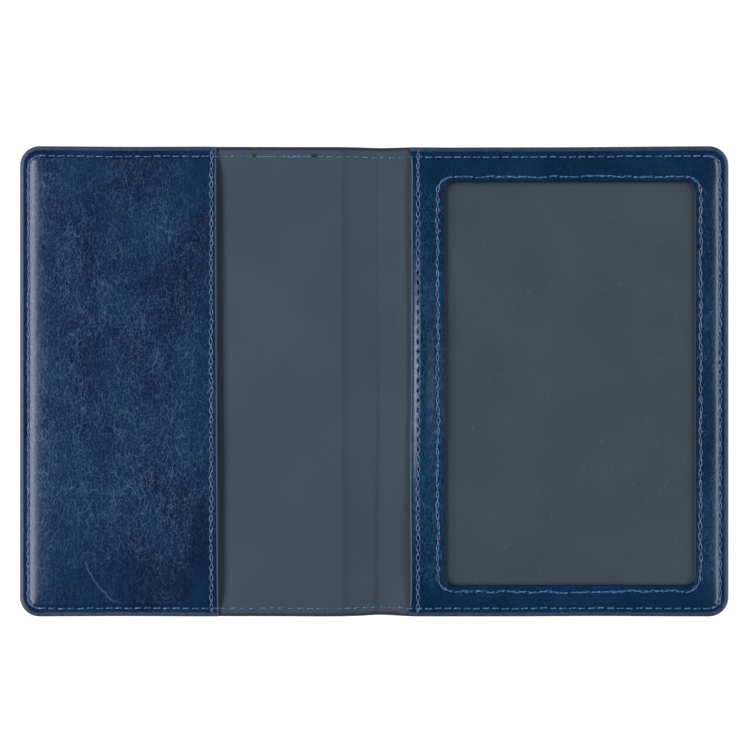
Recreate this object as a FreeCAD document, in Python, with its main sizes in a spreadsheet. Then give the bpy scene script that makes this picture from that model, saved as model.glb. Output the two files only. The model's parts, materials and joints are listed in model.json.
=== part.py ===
import FreeCAD, Part
import os
import re
import Sketcher
from FreeCAD import Vector

# A leather passport holder that lies open with its inside up.
#
# Frame: the origin is the centre of the underside, X runs from the left cover to the right cover,
# Y runs up the page along the spine, and Z points up out of the open inside.
#
# Layers, from the table up: outer leather, stiffener board (covers only), lining, pocket gap,
# pocket lining, window film (right cover only), pocket leather.
#
# The outer leather, the lining and the perimeter thread are flexible and cross the spine whole.
# Here they are cut at four fold lines, so that three narrow strips roll the spine up between the covers.

SIZES = (
    ("open_span", 202.0, "X, from fore edge to fore edge"),
    ("cover_height", 134.0, "Y, from bottom edge to top edge"),
    ("corner_round", 5.6, "radius of the four outer corners"),
    ("leather", 1.0, "thickness of the outer leather"),
    ("board", 0.4, "thickness of a stiffener board"),
    ("lining", 0.5, "thickness of the lining"),
    ("pocket_gap", 0.8, "height of an empty pocket"),
    ("backing", 0.25, "thickness of the lining behind a pocket panel"),
    ("film", 0.25, "thickness of the clear window film"),
    ("panel", 1.0, "thickness of the pocket leather"),
    ("sewn_border", 4.0, "width of the sewn-down border of a pocket panel"),
    ("border_slope", 60.0, "slope of a panel's underside up from its border, from upright, in degrees"),
    ("board_end", 9.5, "from the middle of the spine to the end of a board"),
    ("lining_step", 0.5, "width of the step where the lining drops off a board's end"),
    ("fold_pitch", 5.0, "from one fold line of the spine to the next"),
    ("leather_cut", 0.05, "from a fold line to the leather on either side"),
    ("lining_cut", 0.3, "from a fold line to the lining on either side"),
    ("thread_cut", 0.4, "from a fold line to the thread on the lining on either side"),
    ("pocket_edge", 44.7, "from the middle of the spine to the left pocket's free edge"),
    ("frame_edge", 10.4, "from the middle of the spine to the frame panel's free edge"),
    ("window_near", 20.1, "from the middle of the spine to the window"),
    ("window_far", 91.5, "from the middle of the spine to the window's far side"),
    ("window_top", 56.5, "from the middle of the page to the window's top"),
    ("window_bottom", 58.0, "from the middle of the page to the window's bottom"),
    ("window_round", 3.3, "radius of the window's corners"),
    ("film_lap", 2.4, "how far the film reaches behind the frame"),
    ("lining_back", 0.8, "how far the frame's lining stays back from the window"),
    ("backing_inset", 6.0, "from an edge of the cover to the lining behind a panel"),
    ("backing_back", 0.5, "how far a pocket's lining stays back from the free edge"),
    ("seam_side", 2.5, "from the perimeter seam to a fore edge"),
    ("seam_top", 3.0, "from the perimeter seam to the top edge"),
    ("seam_bottom", 2.2, "from the perimeter seam to the bottom edge"),
    ("seam_round", 3.3, "radius of the perimeter seam's corners"),
    ("pocket_seam", 2.0, "from the left pocket's edge seam to its free edge"),
    ("frame_seam", 2.1, "from the frame's edge seam to its free edge"),
    ("window_seam_near", 2.0, "from the window seam to the window, spine side"),
    ("window_seam_far", 1.4, "from the window seam to the window, fore-edge side"),
    ("window_seam_top", 1.7, "from the window seam to the window's top"),
    ("window_seam_bottom", 1.9, "from the window seam to the window's bottom"),
    ("window_seam_round", 4.6, "radius of the window seam's corners"),
    ("thread_width", 0.6, "width of a sewn thread"),
    ("thread_rise", 0.2, "height of a sewn thread"),
    ("thread_play", 0.3, "from the end of a run of thread to the next piece"),
    ("channel_width", 0.9, "width of the channel that the perimeter seam presses into the underside"),
    ("channel_depth", 0.25, "depth of that channel"),
    ("overlap_start", 34.3, "from the middle of the spine to the first melted thread end"),
    ("overlap_end", 17.2, "from the middle of the spine to the second melted thread end"),
    ("melt_foot", 0.5, "radius of a melted thread end where it sits on the seam"),
    ("melt_tip", 0.3, "radius of its top"),
    ("melt_rise", 0.35, "its height"),
)

# Levels, counted from the table.
BOARD_TOP = "leather + board"
LINING_TOP = BOARD_TOP + " + lining"
SPINE_TOP = "leather + lining"
BACKING_LOW = LINING_TOP + " + pocket_gap"
BACKING_TOP = BACKING_LOW + " + backing"
FILM_TOP = BACKING_TOP + " + film"
POCKET_TOP = BACKING_TOP + " + panel"
FRAME_TOP = FILM_TOP + " + panel"

# Places in the plane of the page.
FORE_EDGE = "open_span / 2"
PAGE = ("-cover_height / 2", "cover_height / 2")
SEAM_Y = ("seam_bottom - cover_height / 2", "cover_height / 2 - seam_top")
WINDOW_X = ("window_near", "window_far")
WINDOW_Y = ("-window_bottom", "window_top")

document = FreeCAD.newDocument("passport_holder")
sheet = document.addObject("Spreadsheet::Sheet", "Sizes")
subparts = []


def fill_sheet():
    for row, (alias, value, meaning) in enumerate(SIZES, 1):
        sheet.set("A%d" % row, alias)
        sheet.set("B%d" % row, str(value))
        sheet.set("C%d" % row, meaning)
        sheet.setAlias("B%d" % row, alias)
    document.recompute()


def bind(thing, size, formula):
    """Ties a size of a feature to a formula in the sheet's aliases."""
    thing.setExpression(size, re.sub(r"[a-z_]+", lambda word: "Sizes." + word.group(), formula))


def keep(thing, label):
    """Names a finished sub-part and lists it for writing."""
    thing.Label = label
    subparts.append(thing)


def across(side, near, far):
    """The X range between two distances from the spine, on the left (-1) or the right (1) cover."""
    return (near, far) if side > 0 else ("-(%s)" % far, "-(%s)" % near)


def grown(span, by):
    """A range that reaches further by the same amount at both ends."""
    return ("%s - (%s)" % (span[0], by), "%s + %s" % (span[1], by))


def shrunk(span, by):
    """A range that stops short by the same amount at both ends."""
    return ("%s + %s" % (span[0], by), "%s - (%s)" % (span[1], by))


# Sheet goods: rectangles padded, cut and rounded in PartDesign.


def rectangle(body, x_range, y_range, level):
    """A rectangle drawn parallel to the body's XY plane, at a level."""
    sketch = body.newObject("Sketcher::SketchObject", "Outline")
    plane = next(f for f in body.Origin.OriginFeatures if f.Role == "XY_Plane")
    sketch.AttachmentSupport = [(plane, "")]
    sketch.MapMode = "FlatFace"
    bind(sketch, "AttachmentOffset.Base.z", level)
    corners = [Vector(-1, -1), Vector(1, -1), Vector(1, 1), Vector(-1, 1)]
    for side in range(4):
        sketch.addGeometry(Part.LineSegment(corners[side], corners[(side + 1) % 4]))
    for side in range(4):
        sketch.addConstraint(Sketcher.Constraint("Coincident", side, 2, (side + 1) % 4, 1))
        direction = "Vertical" if side % 2 else "Horizontal"
        sketch.addConstraint(Sketcher.Constraint(direction, side))
    for kind, side, start, formula in (
        ("DistanceX", 0, -1, x_range[0]),
        ("DistanceX", 1, 1, x_range[1]),
        ("DistanceY", 0, -1, y_range[0]),
        ("DistanceY", 2, 1, y_range[1]),
    ):
        number = sketch.addConstraint(Sketcher.Constraint(kind, side, 1, start))
        bind(sketch, "Constraints[%d]" % number, formula)
    return sketch


def add_layer(body, x_range, y_range, z_range):
    """Pads a rectangle up from one level to another."""
    pad = body.newObject("PartDesign::Pad", "Layer")
    pad.Profile = rectangle(body, x_range, y_range, z_range[0])
    bind(pad, "Length", "%s - (%s)" % (z_range[1], z_range[0]))
    document.recompute()


def cut_away(body, x_range, y_range, z_range, slope="0 * border_slope"):
    """Pockets a rectangle out of the body, up from one level to another. Its sides lean in by the slope."""
    before = body.Shape.Volume
    pocket = body.newObject("PartDesign::Pocket", "Opening")
    pocket.Profile = rectangle(body, x_range, y_range, z_range[0])
    pocket.Reversed = True
    bind(pocket, "Length", "%s - (%s)" % (z_range[1], z_range[0]))
    bind(pocket, "TaperAngle", slope)
    document.recompute()
    if body.Shape.Volume >= before:
        raise RuntimeError("an opening in %s removes nothing" % body.Name)


def round_uprights(body, radius, chosen=lambda middle: True):
    """Rounds the upright edges that chosen picks by the place of their middle."""
    base, names = body.Tip, []
    for number, edge in enumerate(base.Shape.Edges, 1):
        run = edge.Vertexes[-1].Point - edge.Vertexes[0].Point
        if abs(run.x) + abs(run.y) < 1e-6 < abs(run.z) and chosen(edge.CenterOfMass):
            names.append("Edge%d" % number)
    fillet = body.newObject("PartDesign::Fillet", "Corners")
    fillet.Base = (base, names)
    bind(fillet, "Radius", radius)
    document.recompute()


def layer(x_range, y_range, z_range):
    """A body that is one flat rectangular layer."""
    body = document.addObject("PartDesign::Body", "Sheet")
    add_layer(body, x_range, y_range, z_range)
    return body


def cover_layer(side, near, z_range):
    """A layer of one cover, from a distance off the spine to the fore edge, with its outer corners rounded."""
    body = layer(across(side, near, FORE_EDGE), PAGE, z_range)
    beyond = sheet.open_span / 4
    round_uprights(body, "corner_round", lambda middle: middle.x * side > beyond)
    return body


def in_window(middle):
    """Whether an upright edge is one of those round the window."""
    return sheet.frame_edge < middle.x < (sheet.window_far + sheet.open_span / 2) / 2 and (
        abs(middle.y) < (sheet.window_bottom + sheet.cover_height / 2) / 2
    )


# Whatever follows a seam: blocks of a wall that stands along the seam's line.


def block(x_range, y_range, z_range):
    """A plain box between three pairs of levels."""
    box = document.addObject("Part::Box", "Block")
    for axis, side, span in (("x", "Length", x_range), ("y", "Width", y_range), ("z", "Height", z_range)):
        bind(box, "Placement.Base." + axis, span[0])
        bind(box, side, "%s - (%s)" % (span[1], span[0]))
    return box


def combined(kind, base, tool):
    """A boolean of two shapes: kind is Cut or Common."""
    result = document.addObject("Part::" + kind, kind)
    result.Base, result.Tool = base, tool
    document.recompute()
    return result


def group(pieces):
    """Separate solids that are one sub-part."""
    result = document.addObject("Part::Compound", "Group")
    result.Links = pieces
    document.recompute()
    return result


def seam_wall(x_range, y_range, z_range, radius, width):
    """A closed wall of even width that stands along a rounded rectangle."""
    half = width + " / 2"
    outside = layer(grown(x_range, half), grown(y_range, half), z_range)
    round_uprights(outside, radius + " + " + half)
    inside = layer(shrunk(x_range, half), shrunk(y_range, half), z_range)
    round_uprights(inside, radius + " - " + half)
    return combined("Cut", outside, inside)


def run_of(wall, x_range, z_range):
    """The part of a seam's wall inside an X range and between two levels."""
    return combined("Common", wall, block(x_range, PAGE, z_range))


def on_top(level):
    """The levels that a thread takes up on a surface."""
    return (level, level + " + thread_rise")


UNDER = ("channel_depth - thread_rise", "channel_depth")


# The sub-parts.


def make_outer_leather(channel):
    """The outer leather, cut at the fold lines, with the seam's channel pressed into its underside."""
    for side, name in ((-1, "left"), (1, "right")):
        plate = cover_layer(side, "1.5 * fold_pitch + leather_cut", ("0 * leather", "leather"))
        keep(combined("Cut", plate, channel), "outer_leather_" + name)
    for number in (1, 2, 3):
        plate = layer(strip(number, "leather_cut"), PAGE, ("0 * leather", "leather"))
        keep(combined("Cut", plate, channel), "outer_leather_spine_%d" % number)


def strip(number, cut):
    """The X range of a spine strip, with a cut at each of its two fold lines."""
    return ("%.1f * fold_pitch + %s" % (number - 2.5, cut), "%.1f * fold_pitch - %s" % (number - 1.5, cut))


def make_boards():
    """The stiffener boards between the outer leather and the lining."""
    for side, name in ((-1, "left"), (1, "right")):
        keep(cover_layer(side, "board_end", ("leather", BOARD_TOP)), "stiffener_board_" + name)


def make_lining():
    """The lining, which lies on the boards and drops on to the leather between them."""
    for side, name in ((-1, "left"), (1, "right")):
        body = cover_layer(side, "board_end - lining_step", (BOARD_TOP, LINING_TOP))
        drop = across(side, "1.5 * fold_pitch + lining_cut", "board_end")
        add_layer(body, drop, PAGE, ("leather", SPINE_TOP))
        keep(body, "lining_" + name)
    for number in (1, 2, 3):
        keep(layer(strip(number, "lining_cut"), PAGE, ("leather", SPINE_TOP)), "lining_spine_%d" % number)


def pocket_space(side, edge):
    """The plan of the space behind a pocket panel, which runs out of the panel's free edge."""
    return across(side, edge + " - sewn_border", FORE_EDGE + " - sewn_border"), shrunk(PAGE, "sewn_border")


def behind_panel(side, edge):
    """The plan of a sheet that lies behind a pocket panel, inside its sewn border."""
    return across(side, edge + " + backing_back", FORE_EDGE + " - backing_inset"), shrunk(PAGE, "backing_inset")


def make_pocket():
    """The left pocket: leather sewn down on three sides, and its lining."""
    body = cover_layer(-1, "pocket_edge", (LINING_TOP, POCKET_TOP))
    cut_away(body, *pocket_space(-1, "pocket_edge"), (LINING_TOP, BACKING_TOP), "-border_slope")
    keep(body, "pocket_panel_left")
    keep(layer(*behind_panel(-1, "pocket_edge"), (BACKING_LOW, BACKING_TOP)), "pocket_lining_left")


def make_frame():
    """The right pocket: a leather frame sewn down on three sides, its window film and its ring of lining."""
    body = cover_layer(1, "frame_edge", (LINING_TOP, FRAME_TOP))
    cut_away(body, *pocket_space(1, "frame_edge"), (LINING_TOP, FILM_TOP), "-border_slope")
    cut_away(body, WINDOW_X, WINDOW_Y, (FILM_TOP, FRAME_TOP))
    round_uprights(body, "window_round", in_window)
    keep(body, "window_frame_right")
    film = layer(grown(WINDOW_X, "film_lap"), grown(WINDOW_Y, "film_lap"), (BACKING_TOP, FILM_TOP))
    keep(film, "window_film")
    ring = layer(*behind_panel(1, "frame_edge"), (BACKING_LOW, BACKING_TOP))
    opening = grown(WINDOW_X, "lining_back"), grown(WINDOW_Y, "lining_back")
    cut_away(ring, *opening, (BACKING_LOW, BACKING_TOP))
    round_uprights(ring, "window_round", in_window)
    keep(ring, "frame_lining_right")


def make_perimeter_thread(wall):
    """The perimeter seam, in runs on each level that it crosses and along the underside."""
    for side, name, edge, top in ((-1, "left", "pocket_edge", POCKET_TOP), (1, "right", "frame_edge", FRAME_TOP)):
        runs = [
            run_of(wall, across(side, edge, FORE_EDGE), on_top(top)),
            run_of(wall, across(side, "1.5 * fold_pitch + leather_cut", FORE_EDGE), UNDER),
        ]
        if side < 0:
            bare = across(side, "board_end", edge + " - thread_play")
            runs.append(run_of(wall, bare, on_top(LINING_TOP)))
        keep(group(runs), "perimeter_thread_" + name)
    for number in (1, 2, 3):
        runs = [
            run_of(wall, strip(number, "thread_cut"), on_top(SPINE_TOP)),
            run_of(wall, strip(number, "leather_cut"), UNDER),
        ]
        keep(group(runs), "perimeter_thread_spine_%d" % number)


def make_panel_threads():
    """The edge seams of the two panels, and the seam round the window."""
    between = shrunk(SEAM_Y, "(thread_width / 2 + thread_play)")
    for side, name, middle, top in (
        (-1, "pocket_edge_thread", "pocket_edge + pocket_seam", POCKET_TOP),
        (1, "frame_edge_thread", "frame_edge + frame_seam", FRAME_TOP),
    ):
        width = across(side, middle + " - thread_width / 2", middle + " + thread_width / 2")
        keep(layer(width, between, on_top(top)), name)
    loop_x = ("window_near - window_seam_near", "window_far + window_seam_far")
    loop_y = ("-window_bottom - window_seam_bottom", "window_top + window_seam_top")
    loop = seam_wall(loop_x, loop_y, on_top(FRAME_TOP), "window_seam_round", "thread_width")
    keep(loop, "window_thread")


def make_thread_ends():
    """The two melted ends of the perimeter thread, on its run along the bare lining."""
    ends = []
    for place in ("overlap_start", "overlap_end"):
        end = document.addObject("Part::Cone", "Melted")
        for size, formula in (("Radius1", "melt_foot"), ("Radius2", "melt_tip"), ("Height", "melt_rise")):
            bind(end, size, formula)
        bind(end, "Placement.Base.x", "-" + place)
        bind(end, "Placement.Base.y", SEAM_Y[1])
        bind(end, "Placement.Base.z", on_top(LINING_TOP)[1])
        ends.append(end)
    keep(group(ends), "melted_thread_ends")


def check_and_write():
    """Stops on a failed object or a bad shape, and then writes each sub-part to its own file."""
    document.recompute()
    failed = [o.Name for o in document.Objects if {"Invalid", "Error"} & set(o.State)]
    bad = [o.Label for o in subparts if o.Shape.isNull() or not o.Shape.isValid() or not o.Shape.Solids]
    if failed or bad:
        raise RuntimeError("failed: %s; bad shapes: %s" % (failed, bad))
    os.makedirs("parts", exist_ok=True)
    for o in subparts:
        o.Shape.exportStep("parts/%s.step" % o.Label)
        print("%-26s %2d solids %10.2f mm3" % (o.Label, len(o.Shape.Solids), o.Shape.Volume))


fill_sheet()
seam_x = ("seam_side - open_span / 2", "open_span / 2 - seam_side")
full_height = ("0 * leather", FRAME_TOP + " + thread_rise")
thread_wall = seam_wall(seam_x, SEAM_Y, full_height, "seam_round", "thread_width")
channel_wall = seam_wall(seam_x, SEAM_Y, ("0 * leather", "channel_depth"), "seam_round", "channel_width")
make_outer_leather(channel_wall)
make_boards()
make_lining()
make_pocket()
make_frame()
make_perimeter_thread(thread_wall)
make_panel_threads()
make_thread_ends()
check_and_write()
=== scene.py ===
"""The looks of a leather passport holder that lies open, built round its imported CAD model.

X runs from the left cover to the right one, Y up the page and Z up out of the open inside. Shapes
are worked out in millimetres and turn into metres when a mesh is made.
"""
import json
import math

import bpy
import numpy as np
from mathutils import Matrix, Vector


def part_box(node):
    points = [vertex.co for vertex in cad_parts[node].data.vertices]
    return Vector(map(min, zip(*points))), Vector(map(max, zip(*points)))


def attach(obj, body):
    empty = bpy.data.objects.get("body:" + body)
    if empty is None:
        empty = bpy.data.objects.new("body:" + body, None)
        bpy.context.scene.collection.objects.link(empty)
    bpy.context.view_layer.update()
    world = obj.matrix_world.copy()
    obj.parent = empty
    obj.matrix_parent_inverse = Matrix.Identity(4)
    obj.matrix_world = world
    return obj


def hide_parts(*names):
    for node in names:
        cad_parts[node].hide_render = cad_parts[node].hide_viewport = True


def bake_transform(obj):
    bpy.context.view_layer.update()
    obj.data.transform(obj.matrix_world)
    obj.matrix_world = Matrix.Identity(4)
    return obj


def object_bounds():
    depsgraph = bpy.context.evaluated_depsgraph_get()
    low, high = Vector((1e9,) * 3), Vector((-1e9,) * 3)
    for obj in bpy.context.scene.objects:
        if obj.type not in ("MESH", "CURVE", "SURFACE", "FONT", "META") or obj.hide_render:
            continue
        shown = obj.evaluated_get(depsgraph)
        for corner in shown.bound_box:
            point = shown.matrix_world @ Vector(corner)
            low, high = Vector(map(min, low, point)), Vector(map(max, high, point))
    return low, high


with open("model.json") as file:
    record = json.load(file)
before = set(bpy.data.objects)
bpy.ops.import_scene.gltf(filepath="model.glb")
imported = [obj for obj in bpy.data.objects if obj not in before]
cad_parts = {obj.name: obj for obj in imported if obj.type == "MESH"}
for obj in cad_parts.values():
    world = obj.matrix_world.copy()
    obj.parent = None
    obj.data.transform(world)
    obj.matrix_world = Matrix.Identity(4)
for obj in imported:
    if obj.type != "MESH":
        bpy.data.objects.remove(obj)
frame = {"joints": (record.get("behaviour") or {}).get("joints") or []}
cad_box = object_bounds()

MM = 0.001

# ---------------------------------------------------------------- sizes, in millimetres


def corners(node):
    """The lowest and highest corner of a CAD node."""
    low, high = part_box(node)
    return [v / MM for v in low], [v / MM for v in high]


def inset(box, left, right, bottom, top):
    """A rectangle (x0, x1, y0, y1) moved in by a distance on each side."""
    return (box[0] + left, box[1] - right, box[2] + bottom, box[3] - top)


OUTLINE = (cad_box[0].x / MM, cad_box[1].x / MM, cad_box[0].y / MM, cad_box[1].y / MM)
CORNER = 5.6
SEAM = inset(OUTLINE, 2.5, 2.5, 2.35, 2.85)
SEAM_CORNER = 3.3
PANEL_EDGE = corners("pocket_panel_left")[1][0]
FRAME_EDGE = corners("window_frame_right")[0][0]
FILM_LAP = 2.4
FILM_LOW, FILM_HIGH = corners("window_film")
WINDOW = inset((FILM_LOW[0], FILM_HIGH[0], FILM_LOW[1], FILM_HIGH[1]), *[FILM_LAP] * 4)
WINDOW_CORNER = 3.3
WINDOW_SEAM = inset(WINDOW, -2.0, -1.4, -1.9, -1.7)
WINDOW_SEAM_CORNER = 4.6
PANEL_SEAM = PANEL_EDGE - 1.65
FRAME_SEAM = FRAME_EDGE + 2.1
SEAM_ENDS = (OUTLINE[3] - 1.3, OUTLINE[2] + 1.3)  # of the seams along the panels' free edges
OVERLAP = (-34.3, -17.2)  # where the perimeter seam is sewn twice

LEATHER_TOP = corners("outer_leather_left")[1][2]
BOARD_TOP = corners("stiffener_board_left")[1][2]
LINING_TOP = corners("lining_left")[1][2]
SPINE_DROP = LINING_TOP - corners("lining_spine_2")[1][2]
BOARD_END = corners("stiffener_board_right")[0][0]
SPINE_CREASE = 1.3
BORDER_THICK = 1.0  # of a panel where it is sewn down
PANEL_THICK = 0.9
BACKING_THICK = 0.22
FILM_THICK = 0.22
CLEAR = 0.01  # the gap on each side of a layer
HOLE_LONG, HOLE_WIDE, HOLE_DEEP = 0.46, 0.21, 0.42

FOLDS = sorted(joint["pos_m"][0] / MM for joint in frame["joints"])
REACH = (FOLDS[1] - FOLDS[0]) / 2  # how far a fold's bend reaches on each side

# ---------------------------------------------------------------- shape functions


def smooth(low, high, value):
    """0 at low and 1 at high, with a soft start and end. Low may be the larger of the two."""
    t = np.clip((value - low) / (high - low), 0, 1)
    return t * t * (3 - 2 * t)


def ridge(value, width):
    """A smooth hump, 1 high, round zero."""
    return np.exp(-((value / width) ** 2))


def rounded(x, y, box, radius):
    """The distance outside a rounded rectangle, negative inside it."""
    a = np.abs(x - (box[0] + box[1]) / 2) - (box[1] - box[0]) / 2 + radius
    b = np.abs(y - (box[2] + box[3]) / 2) - (box[3] - box[2]) / 2 + radius
    return np.hypot(np.maximum(a, 0), np.maximum(b, 0)) + np.minimum(np.maximum(a, b), 0) - radius


def edge_fall(distance, radius):
    """How far a rounded edge lies below its flat, at a distance in from the edge."""
    across = radius - np.clip(distance, 0, radius)
    return radius - np.sqrt(radius**2 - across**2)


def swelling(distance, *rises):
    """A rise that starts steeply at zero distance and levels out. Each rise has a height and a length."""
    started = np.logaddexp(0, distance / 0.12) * 0.12
    return sum(rise * (1 - np.exp(-started / length)) for rise, length in rises)


def unevenness(x, y, size, seed):
    """A smooth random surface between about -1 and 1, whose bumps are about a size apart."""
    rng = np.random.default_rng(seed)
    total = 0
    for turn, start, stretch in zip(rng.uniform(0, math.pi, 9), rng.uniform(0, 9, 9), rng.uniform(0.6, 1.6, 9)):
        number = 2 * math.pi / size * stretch
        total = total + np.sin(number * (x * math.cos(turn) + y * math.sin(turn)) + start)
    return total / 4


def edge_distance(x, y):
    """How far a point lies inside the holder's outline."""
    return -rounded(x, y, OUTLINE, CORNER)


def seam_distance(x, y):
    """How far a point lies inside the perimeter seam."""
    return -rounded(x, y, SEAM, SEAM_CORNER)


def on_board(x):
    """1 over a stiffener board, 0 over the bare spine, with a slope off the board's end."""
    return smooth(BOARD_END - 2.6, BOARD_END, np.abs(x))


def past_crease(x, y):
    """How far a point lies to the right of the worn crease down the spine."""
    return x - SPINE_CREASE - 0.4 * np.sin(y / 23 + 1)


def lining_level(x, y):
    """The top of the lining, without its edges."""
    crease = past_crease(x, y)
    worn = -0.09 * ridge(crease, 0.45) + 0.05 * ridge(crease - 1.1, 0.9)
    worn = worn * (0.75 - 0.25 * smooth(-20, 60, y)) * (1 - 0.5 * ridge(y - 20, 25))
    soft = 0.02 * unevenness(x, y, 21, 5) * smooth(3, 8, edge_distance(x, y))
    return LINING_TOP - SPINE_DROP * (1 - on_board(x)) + worn + soft


def lining_top(x, y):
    """The lining's top with a raised rim, the groove beside it, and the row that the seam presses down."""
    edge = edge_distance(x, y)
    rim = 0.10 * ridge(edge - 0.62, 0.3) - 0.07 * ridge(edge - 1.15, 0.22)
    pressed = -0.10 * ridge(seam_distance(x, y), 0.45)
    return lining_level(x, y) + rim + pressed - edge_fall(edge, 0.42)


def outer_top(x, y):
    """The outer leather's inner side, which meets the lining round the boards."""
    lip = (BOARD_TOP - LEATHER_TOP) * on_board(x) * (1 - smooth(1.0, 1.5, edge_distance(x, y)))
    return LEATHER_TOP + lip - edge_fall(edge_distance(x, y), 0.12)


def outer_under(x, y):
    """The outer leather's face, with a shallow channel for the stitches."""
    channel = 0.24 * ridge(seam_distance(x, y), 0.5)
    return channel + edge_fall(edge_distance(x, y), 0.35)


def lining_under(x, y):
    return BOARD_TOP - (BOARD_TOP - LEATHER_TOP) * (1 - on_board(x)) + edge_fall(edge_distance(x, y), 0.1)


def sewn_down(x, y, *rises):
    """A panel's top: up over the painted rim, down a step to the seam, then up on to the pocket."""
    edge, inner = edge_distance(x, y), seam_distance(x, y)
    step = 0.14 * smooth(1.1, 1.75, edge)
    rim = 0.21 * np.minimum(edge, 1.15) - 0.24
    return LINING_TOP + BORDER_THICK - step + rim + swelling(inner, *rises)


def panel_form(x, y):
    """The left pocket panel's top, without its edges and needle holes."""
    inner = seam_distance(x, y)
    soft = 0.04 * unevenness(x, y, 30, 3) * smooth(1, 8, inner)
    sag = -0.08 * ridge(x - PANEL_SEAM, 0.6) - 0.16 * ridge(x - PANEL_SEAM, 2.2)
    return sewn_down(x, y, (1.40, 2.7)) + soft + sag


def frame_form(x, y):
    """The frame panel's top, without its edges and needle holes. The free edge curls down in its middle."""
    window_seam = rounded(x, y, WINDOW_SEAM, WINDOW_SEAM_CORNER)
    bar = ridge(window_seam - 2.6, 2.0) * smooth(0.3, 3, seam_distance(x, y))
    sag = -0.12 * ridge(window_seam, 0.55) - 0.04 * ridge(x - FRAME_SEAM, 0.5)
    lip = -0.16 * smooth(0.2, -2.0, window_seam)
    curl = -1.0 * smooth(3.0, 0.2, x - frame_edge(y)) * (0.2 + 0.8 * ridge(y - 3, 42))
    bulge = 0.55 * smooth(13.6, 18.8, x) * smooth(26, 19, x) * ridge(y - 1, 22)
    form = sewn_down(x, y, (0.78, 1.25), (0.42, 7.0)) + 0.06 * bar + sag + lip + curl + bulge
    return form + 0.03 * unevenness(x, y, 17, 8) * bar


def inside_level(x, y):
    """What the perimeter thread lies on, with a short ramp at the panels' free edges."""
    on_panel = smooth(PANEL_EDGE + 0.7, PANEL_EDGE - 0.1, x)
    on_frame = smooth(frame_edge(y) - 0.7, frame_edge(y) + 0.1, x)
    low = lining_level(x, y) - 0.10
    return low + (panel_form(x, y) - low) * on_panel + (frame_form(x, y) - low) * on_frame


def frame_edge(y):
    """The frame's free edge, which is drawn out where the perimeter seam holds it."""
    return FRAME_EDGE + 0.1 + 0.002 * y - 0.22 * ridge(y + 28, 18) - 0.3 * smooth(61.5, 65.5, np.abs(y))


def panel_edge(y):
    """The left pocket panel's free edge, which leans a little."""
    return PANEL_EDGE - 0.005 * y


# ---------------------------------------------------------------- from the flat grid to the real outline


def turned(a, b, radius):
    """Turns square loops round a corner into arcs, where both distances are positive."""
    reach = np.maximum(np.maximum(a, b), 1e-9)
    angle = math.pi / 4 * np.minimum(a, b) / reach
    long, short = reach * np.cos(angle), reach * np.sin(angle)
    there = (a > 0) & (b > 0)
    keep = smooth(radius + 2.1, radius + 3.6, reach)
    to_a = np.where(a >= b, long, short)
    to_b = np.where(a >= b, short, long)
    return np.where(there, to_a + (a - to_a) * keep, a), np.where(there, to_b + (b - to_b) * keep, b)


def round_corners(x, y, box, radius):
    """Moves grid points so that the lines through a rectangle's corners follow its rounded outline."""
    mid_x, mid_y = (box[0] + box[1]) / 2, (box[2] + box[3]) / 2
    half_x, half_y = (box[1] - box[0]) / 2 - radius, (box[3] - box[2]) / 2 - radius
    a, b = np.abs(x - mid_x) - half_x, np.abs(y - mid_y) - half_y
    a, b = turned(a, b, radius)
    return mid_x + np.copysign(half_x + a, x - mid_x), mid_y + np.copysign(half_y + b, y - mid_y)


# Where the top and bottom edges are drawn in, each as (middle, width, depth).
TOP_PULLS = ((0, 75, 0.24), (1.7, 5, 0.22), (20, 10, 0.10), (48, 34, 0.24), (-70, 18, 0.14))
BOTTOM_PULLS = ((1.7, 5, 0.36), (-72, 16, 0.10), (64, 16, 0.12), (-15, 9, -0.08))


def drawn_in(x, y):
    """Y with the top and bottom edges a little uneven, as the spine and the sewing pull on them."""
    high = sum(depth * ridge(x - middle, width) for middle, width, depth in TOP_PULLS)
    low = sum(depth * ridge(x - middle, width) for middle, width, depth in BOTTOM_PULLS) - 0.20
    return y - np.sign(y) * np.where(y > 0, high, low) * smooth(54, 64.5, np.abs(y))


def plain_plan(x, y):
    """The holder's outline. A plan turns a square grid into the outline of a piece."""
    return round_corners(x, y, OUTLINE, CORNER)


def panel_plan(x, y):
    x, y = plain_plan(x, y)
    return x + (panel_edge(y) - PANEL_EDGE) * smooth(PANEL_EDGE - 9, PANEL_EDGE, x), y


def frame_plan(x, y):
    x, y = round_corners(x, y, WINDOW, WINDOW_CORNER)
    x, y = plain_plan(x, y)
    return x + (frame_edge(y) - FRAME_EDGE) * smooth(FRAME_EDGE + 5, FRAME_EDGE, x), y


# ---------------------------------------------------------------- meshes


def marks(places, fine, coarse, passing=()):
    """Grid lines through each place, fine there and coarser away from it. Some go through the passing ones."""
    stops = sorted({*places, *passing})
    sharp = np.array(sorted(places))
    lines = [stops[0]]
    for low, high in zip(stops, stops[1:]):
        x = np.linspace(low, high, 400)
        away = np.abs(x[:, None] - sharp).min(axis=1)
        density = 1 / np.clip(fine + 0.22 * np.maximum(away - 0.6, 0), fine, coarse)
        count = np.concatenate([[0], np.cumsum((density[1:] + density[:-1]) / 2 * np.diff(x))])
        cells = max(1, math.ceil(count[-1]))
        lines += list(np.interp(np.arange(1, cells + 1) / cells * count[-1], count, x))
    return np.array(lines)


def new_object(name, points, faces, finish, flat_angle=35):
    """A smooth-shaded mesh object from points in millimetres."""
    mesh = bpy.data.meshes.new(name)
    mesh.from_pydata((np.asarray(points) * MM).tolist(), [], faces)
    mesh.update()
    mesh.shade_smooth()
    mesh.set_sharp_from_angle(angle=math.radians(flat_angle))
    made = bpy.data.objects.new(name, mesh)
    bpy.context.scene.collection.objects.link(made)
    mesh.materials.append(finish)
    return made


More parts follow.
